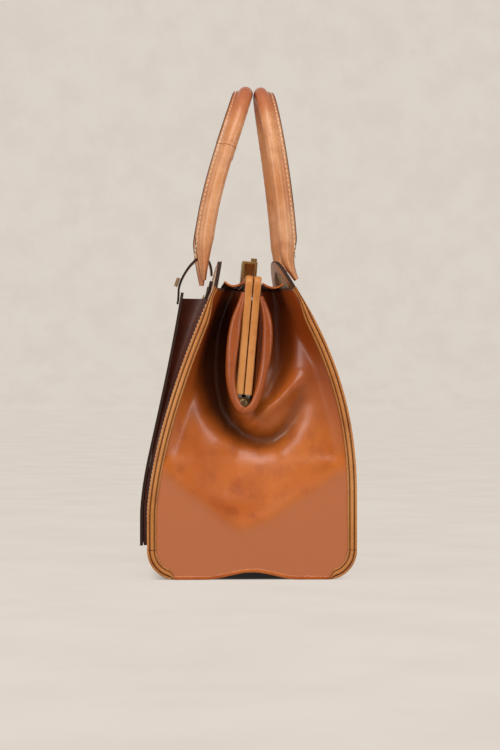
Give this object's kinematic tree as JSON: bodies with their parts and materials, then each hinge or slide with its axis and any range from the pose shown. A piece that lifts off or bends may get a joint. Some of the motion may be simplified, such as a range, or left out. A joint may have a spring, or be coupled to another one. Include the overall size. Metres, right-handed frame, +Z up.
{
  "type": "doctor bag",
  "caption": "Leather doctor bag with a hinged mouth frame, two rolled handles, an outer pocket with a closing strap and a sliding lock.",
  "frame": {"origin": "on the floor, under the middle of the bag's bounding box", "axes": "+Z up, +X from the pocket side to the back, Y along the bag's length"},
  "size_m": [0.2073, 0.38, 0.4913],
  "materials": {
    "tan_leather": "satin",
    "ochre_leather": "satin",
    "handle_leather": "satin",
    "dark_leather": "matte",
    "lining_cloth": "matte",
    "grey_board": "matte",
    "steel": "satin",
    "dark_bronze": "satin",
    "brass": "polished"
  },
  "bodies": {
    "body": {"base_leather": "tan_leather", "base_board": "grey_board", "gusset_near": "tan_leather", "gusset_far": "tan_leather", "base_welt_near": "ochre_leather", "base_welt_far": "ochre_leather", "hinge_plate_near": "dark_bronze", "hinge_plate_far": "dark_bronze", "hinge_rivet_near": "dark_bronze", "hinge_rivet_far": "dark_bronze"},
    "front_panel": {"front_panel": "tan_leather", "front_lining": "lining_cloth", "front_binding": "ochre_leather", "front_welt_near": "ochre_leather", "front_welt_far": "ochre_leather", "front_handle_tab_near": "dark_leather", "front_handle_tab_far": "dark_leather", "handle_rivet_front_near": "brass", "handle_rivet_front_far": "brass", "pocket_wall": "tan_leather", "pocket_gusset_near": "dark_leather", "pocket_gusset_far": "dark_leather", "pocket_floor": "dark_leather"},
    "back_panel": {"back_panel": "tan_leather", "back_lining": "lining_cloth", "back_binding": "ochre_leather", "back_welt_near": "ochre_leather", "back_welt_far": "ochre_leather", "back_handle_tab_near": "dark_leather", "back_handle_tab_far": "dark_leather", "handle_rivet_back_near": "brass", "handle_rivet_back_far": "brass"},
    "front_frame": {"front_frame_cover": "ochre_leather", "front_frame_core": "steel", "front_gusset_wing_near": "tan_leather", "front_gusset_wing_far": "tan_leather", "front_facing": "tan_leather", "lock_case": "brass"},
    "back_frame": {"back_frame_cover": "ochre_leather", "back_frame_core": "steel", "back_gusset_wing_near": "tan_leather", "back_gusset_wing_far": "tan_leather", "back_facing": "tan_leather", "catch_post": "brass"},
    "front_handle": {"front_handle": "handle_leather", "front_handle_core": "lining_cloth"},
    "back_handle": {"back_handle": "handle_leather", "back_handle_core": "lining_cloth"},
    "pocket_strap": {"pocket_strap": "ochre_leather", "strap_buckle": "brass", "buckle_prong": "brass"},
    "lock_bolt": {"lock_bolt": "brass"}
  },
  "joints": [
    {"name": "front_side_opens", "type": "hinge", "parent": "body", "child": "front_panel", "pos_m": [-0.0964, 0, 0.028], "axis": [0, -1, 0], "range_deg": [0, 13]},
    {"name": "back_side_opens", "type": "hinge", "parent": "body", "child": "back_panel", "pos_m": [0.1036, 0, 0.028], "axis": [0, 1, 0], "range_deg": [0, 13]},
    {"name": "front_frame_swings", "type": "hinge", "parent": "body", "child": "front_frame", "pos_m": [-0.0048, 0, 0.168], "axis": [0, -1, 0], "range_deg": [0, 30]},
    {"name": "back_frame_swings", "type": "hinge", "parent": "body", "child": "back_frame", "pos_m": [-0.0048, 0, 0.168], "axis": [0, 1, 0], "range_deg": [0, 30]},
    {"name": "front_handle_folds", "type": "hinge", "parent": "front_panel", "child": "front_handle", "pos_m": [-0.04018, 0, 0.29], "axis": [0, -1, 0], "range_deg": [0, 95]},
    {"name": "back_handle_folds", "type": "hinge", "parent": "back_panel", "child": "back_handle", "pos_m": [0.0515, 0, 0.29], "axis": [0, 1, 0], "range_deg": [0, 135]},
    {"name": "pocket_strap_lifts", "type": "hinge", "parent": "front_panel", "child": "pocket_strap", "pos_m": [-0.03288, 0, 0.2975], "axis": [0, 1, 0], "range_deg": [0, 27]},
    {"name": "lock_bolt_slides", "type": "slide", "parent": "front_frame", "child": "lock_bolt", "axis": [0, 1, 0], "range_m": [0, 0.0095]}
  ],
  "couplings": [
    {"joint": "front_frame_swings", "follows": "front_side_opens", "ratio": 2.3},
    {"joint": "back_frame_swings", "follows": "back_side_opens", "ratio": 2.3}
  ]
}
